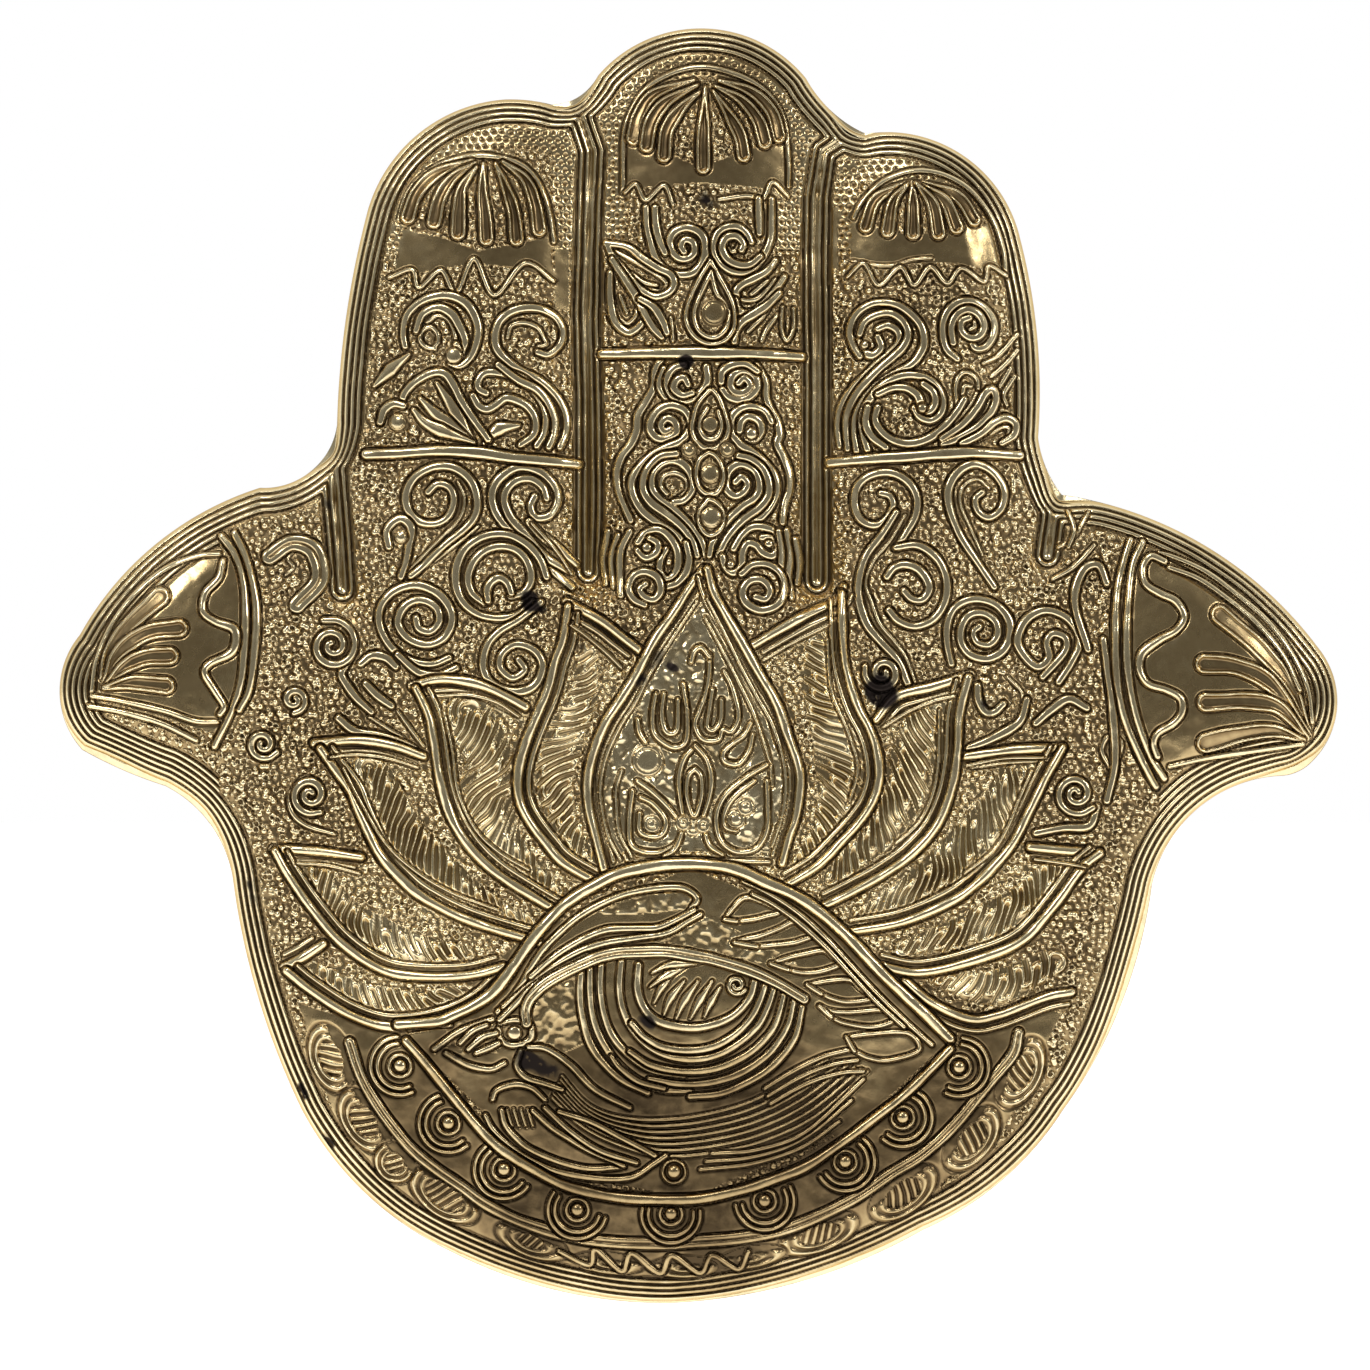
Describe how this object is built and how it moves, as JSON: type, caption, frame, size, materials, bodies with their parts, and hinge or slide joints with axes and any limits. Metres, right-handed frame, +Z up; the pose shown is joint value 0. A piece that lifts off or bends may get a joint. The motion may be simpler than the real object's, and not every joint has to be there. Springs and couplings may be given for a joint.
{
  "type": "hamsa hand wall ornament",
  "caption": "Hand-shaped wall ornament: a chased brass-coloured sheet face with an eye and a lotus over a cast filler, with a backing board, felt, rubber pads and a swinging D-ring.",
  "frame": {"origin": "middle of the hanger strap's rolled eye, on the D-ring's pivot axis, behind the upper part of the hand", "axes": "+Z up along the fingers, -Y out of the chased face towards the viewer, +Y to the wall, +X to the viewer's right"},
  "size_m": [0.2501, 0.0275, 0.2495],
  "materials": {
    "chased_face": "antique gold brass, polished on the high points, dark in the recesses",
    "cast_filler": "pale matte cast resin",
    "board": "brown thin board, sealed",
    "felt": "dark brown felt",
    "pads": "matte black rubber",
    "screws": "zinc-plated steel",
    "hanger": "brass-plated steel"
  },
  "bodies": {
    "ornament": {"face_shell": "chased_face", "filler_core": "cast_filler", "back_board": "board", "back_felt": "felt", "wall_pads": "pads", "board_screws": "screws", "hanger_strap": "hanger", "hanger_screws": "screws"},
    "ring": {"hanger_ring": "hanger"}
  },
  "joints": [
    {"name": "ring_swing", "type": "hinge", "parent": "ornament", "child": "ring", "pos_m": [0, 0, 0], "axis": [1, 0, 0], "range_deg": [0, 180]}
  ]
}
